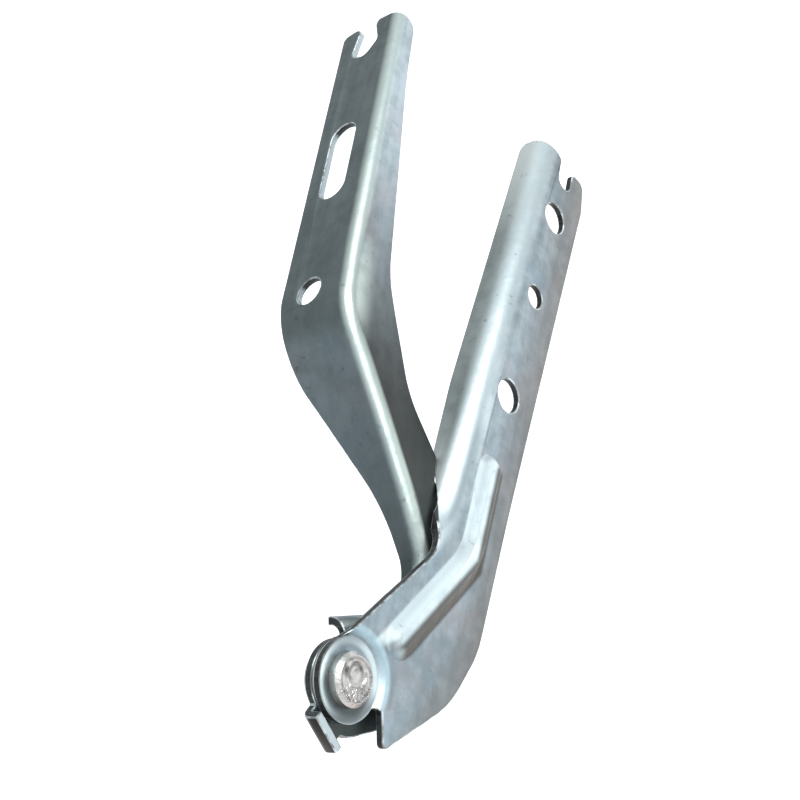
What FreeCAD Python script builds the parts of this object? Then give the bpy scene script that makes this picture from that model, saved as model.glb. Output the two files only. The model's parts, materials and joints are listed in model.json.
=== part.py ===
import FreeCAD, Part
import math
import os

# A bonnet hinge: two pressed steel arms that fold over each other on one rivet.
# X runs along the bonnet flange towards the free ends, Z is up out of that flange,
# and Y runs along the pivot away from the bracket's bolting face.
# The origin is the rear body bolt hole, on that face. Outlines are drawn from the pivot.

# Sheet and pivot fits
SHEET = 2.3
SEAT_STEP = 2.0
WASHER_T = 0.3
PLAY = 0.05

# Body bracket
REAR_HOLE_X = 100.6
REAR_HOLE_Z = -37.9
MIDDLE_HOLE_X = 139.7
MIDDLE_HOLE_Z = -42.1
FRONT_HOLE_X = 173.6
FRONT_HOLE_Z = -44.9
BODY_BOLT_D = 10.5
BODY_PIN_D = 7.6
BRACKET_BEND_R = 9.0
BRACKET_END_R = 10.4
SEAT_R = 10.2
RIB_HEIGHT = 2.4
RIB_BASE_W = 10.4
RIB_TOP_W = 3.4
RIB_CROWN_R = 1.6

# Bonnet arm
FLANGE_Z = 21.8
ARM_BEND_R = 4.4
ARM_END_R = 10.0
SPLAY_START_X = 50.0
SPLAY_END_X = 118.0
SPLAY_DEG = 10.2
SPLAY_R = 120.0
REACH_DEG = 5.4
REACH_R = 300.0
BONNET_HOLE_X = 108.4
BONNET_HOLE_Y = 29.4
BONNET_HOLE_D = 9.0
SLOT_X = 159.6
SLOT_Y = 33.9
SLOT_LENGTH = 31.0
SLOT_WIDTH = 10.2
SLOT_DEG = 4.85
TAB_INNER = 12.05
TAB_FROM = -0.8
TAB_TO = 10.2
TAB_DEG = 148.6
TAB_REACH = 3.3
TAB_BEND_R = 3.0

# Rivet and washer
NECK_R = 4.0
SHOULDER_R = 5.0
HEAD_R = 6.7
HEAD_HEIGHT = 2.9
HEAD_DIMPLE_R = 2.6
TAIL_R = 8.0
TAIL_HEIGHT = 2.6
WASHER_R = 9.4

# Where the pivot lies, seen from the origin
PIVOT = FreeCAD.Vector(-REAR_HOLE_X, SEAT_STEP, -REAR_HOLE_Z)

# Levels across the pivot, measured along Y from the bracket's seat face
WEB_FACE = -SEAT_STEP
WEB_BACK = WEB_FACE + SHEET
ARM_FACE = SHEET + WASHER_T + PLAY
ARM_BACK = ARM_FACE + SHEET
BLOCK_BACK = 70.0
BLOCK_REACH = 150.0


# Outlines: straight runs joined by tangent arcs


def unit(dx, dz):
    """Return the direction of a run as a unit vector."""
    length = math.hypot(dx, dz)
    return dx / length, dz / length


def offset_corners(corners, distance):
    """Move an open row of corners sideways, to the right of its direction."""
    moved = []
    count = len(corners)
    for i in range(count):
        x, z, r = corners[i]
        if i == 0:
            ux, uz = unit(corners[1][0] - x, corners[1][1] - z)
            moved.append((x + uz * distance, z - ux * distance, 0.0))
            continue
        px, pz = unit(x - corners[i - 1][0], z - corners[i - 1][1])
        if i == count - 1:
            moved.append((x + pz * distance, z - px * distance, 0.0))
            continue
        nx, nz = unit(corners[i + 1][0] - x, corners[i + 1][1] - z)
        turn = px * nz - pz * nx
        half = 1.0 + px * nx + pz * nz
        shift_x = (pz + nz) * distance / half
        shift_z = -(px + nx) * distance / half
        grown = r + distance if turn > 0 else r - distance
        moved.append((x + shift_x, z + shift_z, grown))
    return moved


def edges_of(corners, closed, place):
    """Make the edges through corners (a, b, radius), put in space by place."""
    count = len(corners)
    starts = []
    ends = []
    arcs = []
    for i in range(count):
        a, b, r = corners[i]
        last = i == count - 1
        if r <= 0 or (not closed and (i == 0 or last)):
            starts.append((a, b))
            ends.append((a, b))
            arcs.append(None)
            continue
        pa, pb, _ = corners[i - 1]
        na, nb, _ = corners[(i + 1) % count]
        ua, ub = unit(pa - a, pb - b)
        va, vb = unit(na - a, nb - b)
        inside = math.acos(max(-1.0, min(1.0, ua * va + ub * vb)))
        reach = r / math.tan(inside / 2)
        wa, wb = unit(ua + va, ub + vb)
        crown = r / math.sin(inside / 2) - r
        starts.append((a + ua * reach, b + ub * reach))
        ends.append((a + va * reach, b + vb * reach))
        arcs.append((a + wa * crown, b + wb * crown))
    edges = []
    for i in range(count):
        if arcs[i] is not None:
            first = place(*starts[i])
            middle = place(*arcs[i])
            final = place(*ends[i])
            edges.append(Part.Arc(first, middle, final).toShape())
        if i == count - 1 and not closed:
            break
        first = place(*ends[i])
        final = place(*starts[(i + 1) % count])
        if first.distanceToPoint(final) > 1e-6:
            edges.append(Part.LineSegment(first, final).toShape())
    return edges


def side_prism(corners, y_from, y_to):
    """Close a side outline (x, z) and run it across the hinge along Y."""
    edges = edges_of(corners, True, lambda a, b: FreeCAD.Vector(a, y_from, b))
    face = Part.Face(Part.Wire(edges))
    return face.extrude(FreeCAD.Vector(0, y_to - y_from, 0))


def plan_prism(corners, z_from, z_to):
    """Close a plan outline (x, y) and run it upwards along Z."""
    edges = edges_of(corners, True, lambda a, b: FreeCAD.Vector(a, b, z_from))
    face = Part.Face(Part.Wire(edges))
    return face.extrude(FreeCAD.Vector(0, 0, z_to - z_from))


def cross_bar(radius, x, z, y_from, y_to):
    """Return a round bar along Y."""
    start = FreeCAD.Vector(x, y_from, z)
    return Part.makeCylinder(radius, y_to - y_from, start, FreeCAD.Vector(0, 1, 0))


def round_chain(solid, picks, radius):
    """Round the edges that a test picks."""
    chosen = [edge for edge in solid.Edges if picks(edge)]
    return solid.makeFillet(radius, chosen)


def middle_of(edge):
    """Return the point halfway along an edge."""
    half = (edge.FirstParameter + edge.LastParameter) / 2
    return edge.valueAt(half)


# Body bracket

# Outer face of the bracket's flange, from the neck to the free end
BRACKET_FLANGE = [(-20.0, 38.0, 0.0), (54.65, -20.34, 25.0), (225.0, -38.2, 0.0)]
# Centre line of the pressed rib
RIB_LINE = [(74.0, -35.9, 0.0), (45.5, -34.6, 26.0), (14.6, -12.9, 0.0)]
# Cut edge of the bracket's web, from the neck round to the end beside the notch
BRACKET_EDGE = [
    (230.0, 10.0, 0.0),
    (80.0, 10.0, 0.0),
    (72.0, -19.4, 3.0),
    (43.0, -21.0, 14.0),
    (6.1, 7.9, 0.0),
    (-2.0, 0.0, 0.0),
    (-3.2, -9.0, 0.0),
    (-4.1, -12.0, 0.5),
    (-12.9, -15.3, 1.4),
    (5.5, -37.2, 30.0),
    (22.3, -45.1, 25.0),
    (66.0, -48.1, 120.0),
    (186.0, -58.8, 14.0),
    (197.0, -57.2, 3.2),
    (197.0, -50.3, 1.6),
    (188.0, -50.2, 3.2),
    (188.0, -43.3, 3.2),
    (198.2, -43.0, 2.0),
    (208.0, -31.6, 0.0),
    (230.0, -31.6, 0.0),
]
# Depth of the bracket's flange, seen from above
BRACKET_DEPTH = [
    (-40.0, -15.0, 0.0),
    (198.4, -15.0, 0.0),
    (206.4, 11.6, 4.5),
    (101.0, 11.2, 60.0),
    (76.0, 9.6, 12.0),
    (58.0, 2.8, 10.0),
    (40.0, 2.5, 0.0),
    (-40.0, 2.5, 0.0),
]


def bracket_block(inset):
    """Return the bracket's rounded outer form, or its inner form for an inset."""
    line = offset_corners(BRACKET_FLANGE, inset)
    first = line[0]
    last = line[-1]
    outline = list(line)
    outline.append((last[0], -90.0, 0.0))
    outline.append((first[0], -90.0, 0.0))
    level = WEB_FACE + inset
    block = side_prism(outline, level, level + BLOCK_BACK)

    def on_bend(edge):
        mid = middle_of(edge)
        if abs(mid.y - level) > 0.01 or mid.z < -60:
            return False
        return mid.x > first[0] + 1 and mid.x < last[0] - 1

    return round_chain(block, on_bend, BRACKET_BEND_R - inset)


def rib_outline(width, level):
    """Return the closed outline of the rib at one height."""
    half = width / 2
    right = offset_corners(RIB_LINE, half)
    left = offset_corners(RIB_LINE, -half)
    place = lambda a, b: FreeCAD.Vector(a, level, b)
    edges = edges_of(right, False, place)
    ax, az, _ = RIB_LINE[-2]
    bx, bz, _ = RIB_LINE[-1]
    ux, uz = unit(bx - ax, bz - az)
    tip = (bx + ux * half, bz + uz * half)
    edges.append(Part.Arc(place(*right[-1][:2]), place(*tip), place(*left[-1][:2])).toShape())
    edges.extend(edges_of(left[::-1], False, place))
    ax, az, _ = RIB_LINE[1]
    bx, bz, _ = RIB_LINE[0]
    ux, uz = unit(bx - ax, bz - az)
    tip = (bx + ux * half, bz + uz * half)
    edges.append(Part.Arc(place(*left[0][:2]), place(*tip), place(*right[0][:2])).toShape())
    return Part.Wire(edges)


def rib_form(lift):
    """Return the raised rib, moved back by lift for the inner form."""
    base = WEB_FACE + lift
    slope = (RIB_BASE_W - RIB_TOP_W) / RIB_HEIGHT
    foot = rib_outline(RIB_BASE_W + slope, base + 1.0)
    crown = rib_outline(RIB_TOP_W, base - RIB_HEIGHT)
    form = Part.makeLoft([foot, crown], True, True)
    level = base - RIB_HEIGHT
    return round_chain(form, lambda edge: abs(middle_of(edge).y - level) < 0.01, RIB_CROWN_R)


def seat_form(lift):
    """Return the dished hollow round the pivot, moved back by lift for the inner form."""
    start = FreeCAD.Vector(0, lift, 0)
    back = FreeCAD.Vector(0, -1, 0)
    height = SEAT_STEP + 3.0
    return Part.makeCone(SEAT_R, SEAT_R + height, height, start, back)


def make_body_bracket():
    """Press, trim and pierce the bracket that is bolted to the body."""
    outer = bracket_block(0.0).cut(seat_form(0.0)).fuse(rib_form(0.0))
    inner = bracket_block(SHEET).cut(seat_form(SHEET)).fuse(rib_form(SHEET))
    sheet = outer.cut(inner)
    web = side_prism(BRACKET_EDGE, -15.0, 25.0)
    web = web.fuse(cross_bar(BRACKET_END_R, 0.0, 0.0, -15.0, 25.0))
    sheet = sheet.common(web)
    sheet = sheet.common(plan_prism(BRACKET_DEPTH, -90.0, 60.0))
    sheet = sheet.cut(cross_bar(BODY_BOLT_D / 2, REAR_HOLE_X, REAR_HOLE_Z, -5.0, 5.0))
    sheet = sheet.cut(cross_bar(BODY_PIN_D / 2, MIDDLE_HOLE_X, MIDDLE_HOLE_Z, -5.0, 5.0))
    sheet = sheet.cut(cross_bar(BODY_BOLT_D / 2, FRONT_HOLE_X, FRONT_HOLE_Z, -5.0, 5.0))
    sheet = sheet.cut(cross_bar(NECK_R, 0.0, 0.0, -5.0, 5.0))
    return sheet


# Bonnet arm

# Outer face of the arm's flange, from the free end down into the gooseneck
ARM_FLANGE = [
    (240.0, FLANGE_Z, 0.0),
    (98.6, FLANGE_Z, 26.0),
    (75.0, 4.4, 60.0),
    (28.6, -28.0, 13.0),
    (9.2, 17.3, 0.0),
]
# Cut edge of the arm's web, from the flange end round the pivot to the free end
ARM_EDGE = [
    (12.4, 2.9, 0.6),
    (19.5, 5.7, 0.0),
    (30.0, 10.0, 0.0),
    (30.0, 60.0, 0.0),
    (222.2, 60.0, 0.0),
    (222.2, 13.6, 4.0),
    (196.0, 12.8, 150.0),
    (120.0, 5.2, 40.0),
    (86.0, -7.8, 30.0),
    (72.6, -21.85, 1.5),
    (62.5, -20.85, 1.0),
    (59.5, -24.5, 3.0),
    (50.0, -31.5, 9.0),
    (30.0, -38.5, 20.0),
    (10.0, -35.0, 18.0),
    (-6.8, -18.0, 20.0),
    (-12.4, -7.0, 8.0),
    (-12.4, -0.5, 0.0),
    (-3.0, 0.0, 0.0),
    (6.0, -1.0, 0.0),
    (9.9, 1.0, 1.0),
]
# Depth of the arm's flange and the shape of its free end, seen from above
ARM_DEPTH = [
    (-40.0, -20.0, 0.0),
    (222.4, -20.0, 0.0),
    (223.0, 36.2, 3.0),
    (212.0, 32.2, 3.0),
    (206.0, 36.4, 3.0),
    (208.0, 42.8, 3.0),
    (222.0, 41.6, 2.4),
    (220.4, 49.8, 2.5),
    (106.6, 40.4, 30.0),
    (85.0, 36.4, 25.0),
    (53.0, 13.4, 40.0),
    (40.0, 10.6, 20.0),
    (18.0, 8.2, 0.0),
    (-40.0, 8.2, 0.0),
]


def splay_line(inset):
    """Return the arm's web face seen from above: level, splayed, then splayed less."""
    bend_y = ARM_FACE + (SPLAY_END_X - SPLAY_START_X) * math.tan(math.radians(SPLAY_DEG))
    far_x = SPLAY_END_X + BLOCK_REACH
    far_y = bend_y + BLOCK_REACH * math.tan(math.radians(REACH_DEG))
    line = [
        (far_x, far_y, 0.0),
        (SPLAY_END_X, bend_y, REACH_R),
        (SPLAY_START_X, ARM_FACE, SPLAY_R),
        (-60.0, ARM_FACE, 0.0),
    ]
    return offset_corners(line, inset)


def arm_block(inset):
    """Return the arm's rounded outer form, or its inner form for an inset."""
    line = offset_corners(ARM_FLANGE, -inset)
    first = line[0]
    last = line[-1]
    outline = list(line)
    outline.append((-40.0, last[1], 0.0))
    outline.append((-40.0, -90.0, 0.0))
    outline.append((first[0], -90.0, 0.0))
    side = side_prism(outline, -20.0, 90.0)
    face = splay_line(inset)
    plan = list(face)
    plan.append((-60.0, 120.0, 0.0))
    plan.append((face[0][0], 120.0, 0.0))
    block = side.common(plan_prism(plan, -100.0, 100.0))
    surface = Part.Wire(edges_of(face, False, lambda a, b: FreeCAD.Vector(a, b, -100.0)))
    web_face = surface.extrude(FreeCAD.Vector(0, 0, 200.0))

    def on_bend(edge):
        mid = middle_of(edge)
        if web_face.distToShape(Part.Vertex(mid))[0] > 0.01:
            return False
        if mid.z < -85 or mid.x < -35 or mid.x > first[0] - 1:
            return False
        if abs(mid.z - last[1]) < 0.01:
            return False
        low = edge.Vertexes[0].Point
        high = edge.Vertexes[-1].Point
        return math.hypot(low.x - high.x, low.y - high.y) > 0.01

    return round_chain(block, on_bend, ARM_BEND_R - inset)


def stop_tab():
    """Return the stop tab: the web drawn out beside the pivot and bent over the bracket."""
    outer = TAB_INNER + SHEET
    reach = ARM_FACE - TAB_REACH
    width = TAB_TO - TAB_FROM
    start = FreeCAD.Vector(0.0, reach, TAB_FROM)
    body = Part.makeBox(outer, ARM_BACK - reach, width, start)

    def outer_corner(edge):
        mid = middle_of(edge)
        return abs(mid.x - outer) < 0.01 and abs(mid.y - ARM_BACK) < 0.01

    body = round_chain(body, outer_corner, TAB_BEND_R)
    start = FreeCAD.Vector(-1.0, reach - 1.0, TAB_FROM - 1.0)
    hollow = Part.makeBox(TAB_INNER + 1.0, ARM_FACE - reach + 1.0, width + 2.0, start)

    def inner_corner(edge):
        mid = middle_of(edge)
        return abs(mid.x - TAB_INNER) < 0.01 and abs(mid.y - ARM_FACE) < 0.01

    hollow = round_chain(hollow, inner_corner, TAB_BEND_R - SHEET)
    tab = body.cut(hollow)
    tab.rotate(FreeCAD.Vector(0, 0, 0), FreeCAD.Vector(0, 1, 0), -TAB_DEG)
    return tab


def slot_tool():
    """Return the long rounded opening in the bonnet flange."""
    half = (SLOT_LENGTH - SLOT_WIDTH) / 2
    low = FLANGE_Z - 10.0
    up = FreeCAD.Vector(0, 0, 1)
    radius = SLOT_WIDTH / 2
    tool = Part.makeBox(2 * half, SLOT_WIDTH, 20.0, FreeCAD.Vector(-half, -radius, low))
    tool = tool.fuse(Part.makeCylinder(radius, 20.0, FreeCAD.Vector(-half, 0, low), up))
    tool = tool.fuse(Part.makeCylinder(radius, 20.0, FreeCAD.Vector(half, 0, low), up))
    tool.rotate(FreeCAD.Vector(0, 0, 0), up, SLOT_DEG)
    tool.translate(FreeCAD.Vector(SLOT_X, SLOT_Y, 0))
    return tool


def make_bonnet_arm():
    """Press, trim and pierce the arm that is bolted under the bonnet."""
    sheet = arm_block(0.0).cut(arm_block(SHEET))
    web = side_prism(ARM_EDGE, -20.0, 80.0)
    web = web.fuse(cross_bar(ARM_END_R, 0.0, 0.0, -20.0, 80.0))
    sheet = sheet.common(web)
    sheet = sheet.common(plan_prism(ARM_DEPTH, -90.0, 60.0))
    sheet = sheet.fuse(stop_tab())
    low = FLANGE_Z - 10.0
    spot = FreeCAD.Vector(BONNET_HOLE_X, BONNET_HOLE_Y, low)
    sheet = sheet.cut(Part.makeCylinder(BONNET_HOLE_D / 2, 20.0, spot, FreeCAD.Vector(0, 0, 1)))
    sheet = sheet.cut(slot_tool())
    sheet = sheet.cut(cross_bar(SHOULDER_R + PLAY, 0.0, 0.0, -20.0, 20.0))
    return sheet.removeSplitter()


# Rivet and washer


def make_pivot_rivet():
    """Turn the shouldered rivet with its spun head and flat tail head."""
    tail_face = ARM_BACK + PLAY
    tail_back = tail_face + TAIL_HEIGHT
    side = Part.makePolygon([
        FreeCAD.Vector(0, -HEAD_HEIGHT + 0.5, 0),
        FreeCAD.Vector(HEAD_DIMPLE_R, -HEAD_HEIGHT, 0),
        FreeCAD.Vector(HEAD_R - 0.5, -HEAD_HEIGHT, 0),
        FreeCAD.Vector(HEAD_R, -HEAD_HEIGHT + 0.9, 0),
        FreeCAD.Vector(HEAD_R, 0, 0),
        FreeCAD.Vector(NECK_R, 0, 0),
        FreeCAD.Vector(NECK_R, SHEET, 0),
        FreeCAD.Vector(SHOULDER_R, SHEET, 0),
        FreeCAD.Vector(SHOULDER_R, tail_face, 0),
        FreeCAD.Vector(TAIL_R, tail_face, 0),
        FreeCAD.Vector(TAIL_R, tail_back - 0.8, 0),
        FreeCAD.Vector(TAIL_R - 0.8, tail_back, 0),
        FreeCAD.Vector(0, tail_back, 0),
        FreeCAD.Vector(0, -HEAD_HEIGHT + 0.5, 0),
    ])
    origin = FreeCAD.Vector(0, 0, 0)
    return Part.Face(side).revolve(origin, FreeCAD.Vector(0, 1, 0), 360)


def make_spacer_washer():
    """Return the thin washer that keeps the two pressings apart."""
    disc = cross_bar(WASHER_R, 0.0, 0.0, SHEET, SHEET + WASHER_T)
    return disc.cut(cross_bar(SHOULDER_R, 0.0, 0.0, 0.0, 5.0))


def save(shape, name):
    """Move a piece from the pivot's frame to the origin and write it."""
    shape.translate(PIVOT)
    shape.exportStep("parts/" + name + ".step")
    print(name, round(shape.Volume, 1), shape.isValid(), len(shape.Solids))


def main():
    """Make and write every piece."""
    os.makedirs("parts", exist_ok=True)
    save(make_body_bracket(), "body_bracket")
    save(make_bonnet_arm(), "bonnet_arm")
    save(make_pivot_rivet(), "pivot_rivet")
    save(make_spacer_washer(), "spacer_washer")


main()
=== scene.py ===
import json
import logging
import math
import random
from dataclasses import dataclass, field
from enum import Enum
from functools import reduce
from typing import Callable, Sequence, Union

import bmesh
import bpy
from mathutils import Matrix, Vector

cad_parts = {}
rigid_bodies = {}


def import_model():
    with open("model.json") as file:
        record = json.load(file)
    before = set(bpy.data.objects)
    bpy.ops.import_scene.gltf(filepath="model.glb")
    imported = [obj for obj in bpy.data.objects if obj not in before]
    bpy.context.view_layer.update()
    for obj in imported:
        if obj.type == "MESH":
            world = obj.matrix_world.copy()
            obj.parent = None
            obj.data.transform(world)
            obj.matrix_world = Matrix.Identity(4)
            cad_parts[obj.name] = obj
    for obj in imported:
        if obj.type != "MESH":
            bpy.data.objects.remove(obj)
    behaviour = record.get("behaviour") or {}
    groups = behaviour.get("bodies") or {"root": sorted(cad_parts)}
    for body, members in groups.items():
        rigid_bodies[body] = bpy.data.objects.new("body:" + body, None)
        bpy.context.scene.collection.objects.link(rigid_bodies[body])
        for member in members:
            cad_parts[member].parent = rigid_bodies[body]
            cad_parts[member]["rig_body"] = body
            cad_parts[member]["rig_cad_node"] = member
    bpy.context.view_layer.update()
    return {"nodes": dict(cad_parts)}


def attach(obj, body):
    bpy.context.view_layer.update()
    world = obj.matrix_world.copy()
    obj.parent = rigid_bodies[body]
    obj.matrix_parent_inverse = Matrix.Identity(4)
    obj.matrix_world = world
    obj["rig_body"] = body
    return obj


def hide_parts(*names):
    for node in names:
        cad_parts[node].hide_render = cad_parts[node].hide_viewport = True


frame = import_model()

Colour = tuple[float, float, float, float]
Spot = tuple[float, float]

LOG = logging.getLogger("bonnet_hinge")
MM = 0.001
PIVOT = Vector((-0.1006, 0.002, 0.0379))
NICK = Vector((1.0, 0.0, 3.9)) * MM
UP = Vector((0.0, 0.0, 1.0))
FRONT = Vector((0.0, -1.0, 0.0))

# The photograph's upward and leftward directions across the side view, as shares of X and Z
LIFT = (0.87, 0.49)
LEFT = (-0.31, 0.95)

# Lines on the bracket, as X and Z in millimetres from the pivot
LOWER_EDGE = ((5.5, -37.2), (22.3, -45.1), (66.0, -48.1), (186.0, -58.8))
RIB_LINE = ((74.0, -35.9), (45.5, -34.6), (14.6, -12.9))


# Shader maths


class Signal:
    """A socket that takes part in Python expressions, each adding its own Math node."""

    def __init__(self, book: "NodeBook", socket: bpy.types.NodeSocket) -> None:
        """Keep the socket and the material's nodes.

        Args:
            book: The nodes that the expression is written into.
            socket: The output that carries the number.
        """
        self.book = book
        self.socket = socket

    def _math(
        self, operation: str, *others: Union["Signal", float], flip: bool = False
    ) -> "Signal":
        """Add one Math node.

        Args:
            operation: The node's operation.
            others: The further operands.
            flip: Whether this signal is the second operand.

        Returns:
            The node's result.
        """
        operands = [self, *others]
        if flip:
            operands.reverse()
        node = self.book.node("ShaderNodeMath", {"operation": operation}, dict(enumerate(operands)))
        return Signal(self.book, node.outputs[0])

    def __add__(self, other: Union["Signal", float]) -> "Signal":
        """Add a signal or a number."""
        return self._math("ADD", other)

    __radd__ = __add__

    def __sub__(self, other: Union["Signal", float]) -> "Signal":
        """Subtract a signal or a number."""
        return self._math("SUBTRACT", other)

    def __rsub__(self, other: float) -> "Signal":
        """Subtract this signal from a number."""
        return self._math("SUBTRACT", other, flip=True)

    def __mul__(self, other: Union["Signal", float]) -> "Signal":
        """Multiply by a signal or a number."""
        return self._math("MULTIPLY", other)

    __rmul__ = __mul__

    def __pow__(self, other: float) -> "Signal":
        """Raise to a power."""
        return self._math("POWER", other)

    def most(self, other: Union["Signal", float]) -> "Signal":
        """Return the larger of two values."""
        return self._math("MAXIMUM", other)

    def least(self, other: Union["Signal", float]) -> "Signal":
        """Return the smaller of two values."""
        return self._math("MINIMUM", other)

    def span(
        self, low: float, high: float, out_low: float = 0.0, out_high: float = 1.0
    ) -> "Signal":
        """Map a range smoothly onto another, clamped at both ends.

        Args:
            low: The value that gives out_low.
            high: The value that gives out_high.
            out_low: The result at low.
            out_high: The result at high.

        Returns:
            The mapped signal.
        """
        limits = {"From Min": low, "From Max": high, "To Min": out_low, "To Max": out_high}
        node = self.book.node(
            "ShaderNodeMapRange", {"interpolation_type": "SMOOTHSTEP"}, {"Value": self, **limits}
        )
        return Signal(self.book, node.outputs["Result"])

    def fade(self, low: float, high: float) -> "Signal":
        """Map a range smoothly onto a fall from 1 to 0.

        Args:
            low: The value that gives 1.
            high: The value that gives 0.

        Returns:
            The mapped signal.
        """
        return self.span(low, high, 1.0, 0.0)

    def band(self, start: float, full: float, last: float, end: float) -> "Signal":
        """Mark a band of a distance: 1 inside it, 0 outside, smooth at both sides.

        Args:
            start: Where the band begins, in millimetres.
            full: Where it first reaches 1.
            last: Where it is last 1.
            end: Where it is 0 again.

        Returns:
            The band.
        """
        return self.span(start * MM, full * MM) * self.fade(last * MM, end * MM)


Feed = Union[Signal, bpy.types.NodeSocket, float, tuple]


@dataclass(frozen=True)
class Tint:
    """A colour that is laid over others, and how much of it shows at most."""

    colour: Feed
    share: float = 1.0


class NodeBook:
    """The nodes of one material, written from Python, and its colour so far."""

    def __init__(self, name: str) -> None:
        """Make an empty material.

        Args:
            name: The material's name.
        """
        self.material = bpy.data.materials.new(name)
        self.material.use_nodes = True
        self.tree = self.material.node_tree
        self.tree.nodes.clear()
        where = self.node("ShaderNodeTexCoord", {}, {})
        self.place = where.outputs["Object"]
        self.normal = where.outputs["Normal"]
        self.split = self.node("ShaderNodeSeparateXYZ", {}, {0: self.place})
        self.colour: Feed = (0.0, 0.0, 0.0, 1.0)

    def node(self, kind: str, settings: dict, inputs: dict) -> bpy.types.Node:
        """Add any node.

        Args:
            kind: The node's type.
            settings: Its own settings, set first.
            inputs: Values or links by socket name or number.

        Returns:
            The new node.
        """
        made = self.tree.nodes.new(kind)
        for key, value in settings.items():
            setattr(made, key, value)
        for key, value in inputs.items():
            self._feed(made.inputs[key], value)
        return made

    def _feed(self, socket: bpy.types.NodeSocket, value: Feed) -> None:
        """Link or set one input.

        Args:
            socket: The input.
            value: A signal, a socket or a plain value.
        """
        if isinstance(value, Signal):
            self.tree.links.new(value.socket, socket)
        elif isinstance(value, bpy.types.NodeSocket):
            self.tree.links.new(value, socket)
        else:
            socket.default_value = value

    def noise(
        self,
        scale: float,
        detail: float = 3.0,
        stretch: tuple[float, float, float] = (1.0, 1.0, 1.0),
        roughness: float = 0.5,
        shift: float = 0.0,
    ) -> Signal:
        """Return a noise over the object.

        Args:
            scale: Waves per metre.
            detail: Octaves.
            stretch: Scale along each axis.
            roughness: Weight of the finer octaves.
            shift: Offset, so that two noises differ.

        Returns:
            The noise, from 0 to 1.
        """
        offset = (shift, shift, shift)
        place = self.node(
            "ShaderNodeMapping", {}, {"Vector": self.place, "Location": offset, "Scale": stretch}
        )
        waves = {"Scale": scale, "Detail": detail, "Roughness": roughness}
        made = self.node("ShaderNodeTexNoise", {}, {"Vector": place.outputs[0], **waves})
        return Signal(self, made.outputs["Fac"])

    def mix(self, factor: Feed, first: Feed, second: Feed) -> bpy.types.NodeSocket:
        """Mix two colours.

        Args:
            factor: How much of the second shows.
            first: The first colour.
            second: The second colour.

        Returns:
            The mixed colour.
        """
        settings = {"data_type": "RGBA", "blend_type": "MIX"}
        made = self.node("ShaderNodeMix", settings, {0: factor, 6: first, 7: second})
        return made.outputs[2]

    def lay(self, mask: Signal, tint: Tint) -> None:
        """Lay a tint over the colour so far.

        Args:
            mask: Where it lies, from 0 to 1.
            tint: The tint and its share.
        """
        self.colour = self.mix(mask * tint.share, self.colour, tint.colour)

    def facing(self, direction: Vector) -> Signal:
        """Return how far the surface turns towards a direction in the object's frame.

        Args:
            direction: A unit vector.

        Returns:
            The cosine, from -1 to 1.
        """
        made = self.node(
            "ShaderNodeVectorMath",
            {"operation": "DOT_PRODUCT"},
            {0: self.normal, 1: tuple(direction)},
        )
        return Signal(self, made.outputs["Value"])

    def along(self, axis: str) -> Signal:
        """Return one coordinate of the object's frame.

        Args:
            axis: "X", "Y" or "Z".

        Returns:
            The coordinate in metres.
        """
        return Signal(self, self.split.outputs[axis])

    def from_pivot(self, across: float, upward: float) -> Signal:
        """Return the distance from the pivot in one direction of the side view.

        Args:
            across: The direction's share along X.
            upward: Its share along Z.

        Returns:
            The signed distance in metres.
        """
        base = PIVOT.x * across + PIVOT.z * upward
        return self.along("X") * across + self.along("Z") * upward - base

    def beside(self, start: Spot, end: Spot) -> Signal:
        """Return the distance from a line in the side view, on the left of its direction.

        Args:
            start: The line's start from the pivot, in millimetres.
            end: Its end.

        Returns:
            The signed distance in metres.
        """
        length = math.hypot(end[0] - start[0], end[1] - start[1])
        across = (start[1] - end[1]) / length
        upward = (end[0] - start[0]) / length
        base = (PIVOT.x + start[0] * MM) * across + (PIVOT.z + start[1] * MM) * upward
        return self.along("X") * across + self.along("Z") * upward - base

    def beside_row(
        self, spots: Sequence[Spot], pick: Callable[[Signal, Signal], Signal]
    ) -> Signal:
        """Return the distance from a row of joined lines.

        Args:
            spots: The ends of the lines, in millimetres from the pivot.
            pick: Signal.least for a row that bulges, Signal.most for one that caves in.

        Returns:
            The signed distance in metres.
        """
        return reduce(pick, [self.beside(start, end) for start, end in zip(spots, spots[1:])])

    def away(self, spot: Vector) -> Signal:
        """Return the distance from an axis along Y, in the object's frame.

        Args:
            spot: A point on the axis.

        Returns:
            The distance in metres.
        """
        across = self.along("X") - spot.x
        upward = self.along("Z") - spot.z
        return (across * across + upward * upward) ** 0.5

    def bump(self, height: Signal, strength: float, distance: float) -> bpy.types.NodeSocket:
        """Turn a height into a normal.

        Args:
            height: The relief.
            strength: How much of it shows.
            distance: Its depth in metres.

        Returns:
            The bumped normal.
        """
        relief = {"Height": height, "Strength": strength, "Distance": distance}
        return self.node("ShaderNodeBump", {}, relief).outputs[0]

    def finish(
        self, rough: Signal, metallic: float, normal: bpy.types.NodeSocket
    ) -> bpy.types.Material:
        """Close the material with one Principled shader in the colour so far.

        Args:
            rough: Roughness.
            metallic: Metallic.
            normal: Bumped normal.

        Returns:
            The material.
        """
        looks = {"Roughness": rough, "Metallic": metallic, "Normal": normal}
        shader = self.node("ShaderNodeBsdfPrincipled", {}, {"Base Color": self.colour, **looks})
        self.node("ShaderNodeOutputMaterial", {}, {"Surface": shader.outputs[0]})
        return self.material


# Finishes


def tone(red: float, green: float, blue: float) -> Colour:
    """Return an opaque colour.

    Args:
        red: Red, linear.
        green: Green.
        blue: Blue.

    Returns:
        The colour with full alpha.
    """
    return (red, green, blue, 1.0)


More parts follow.
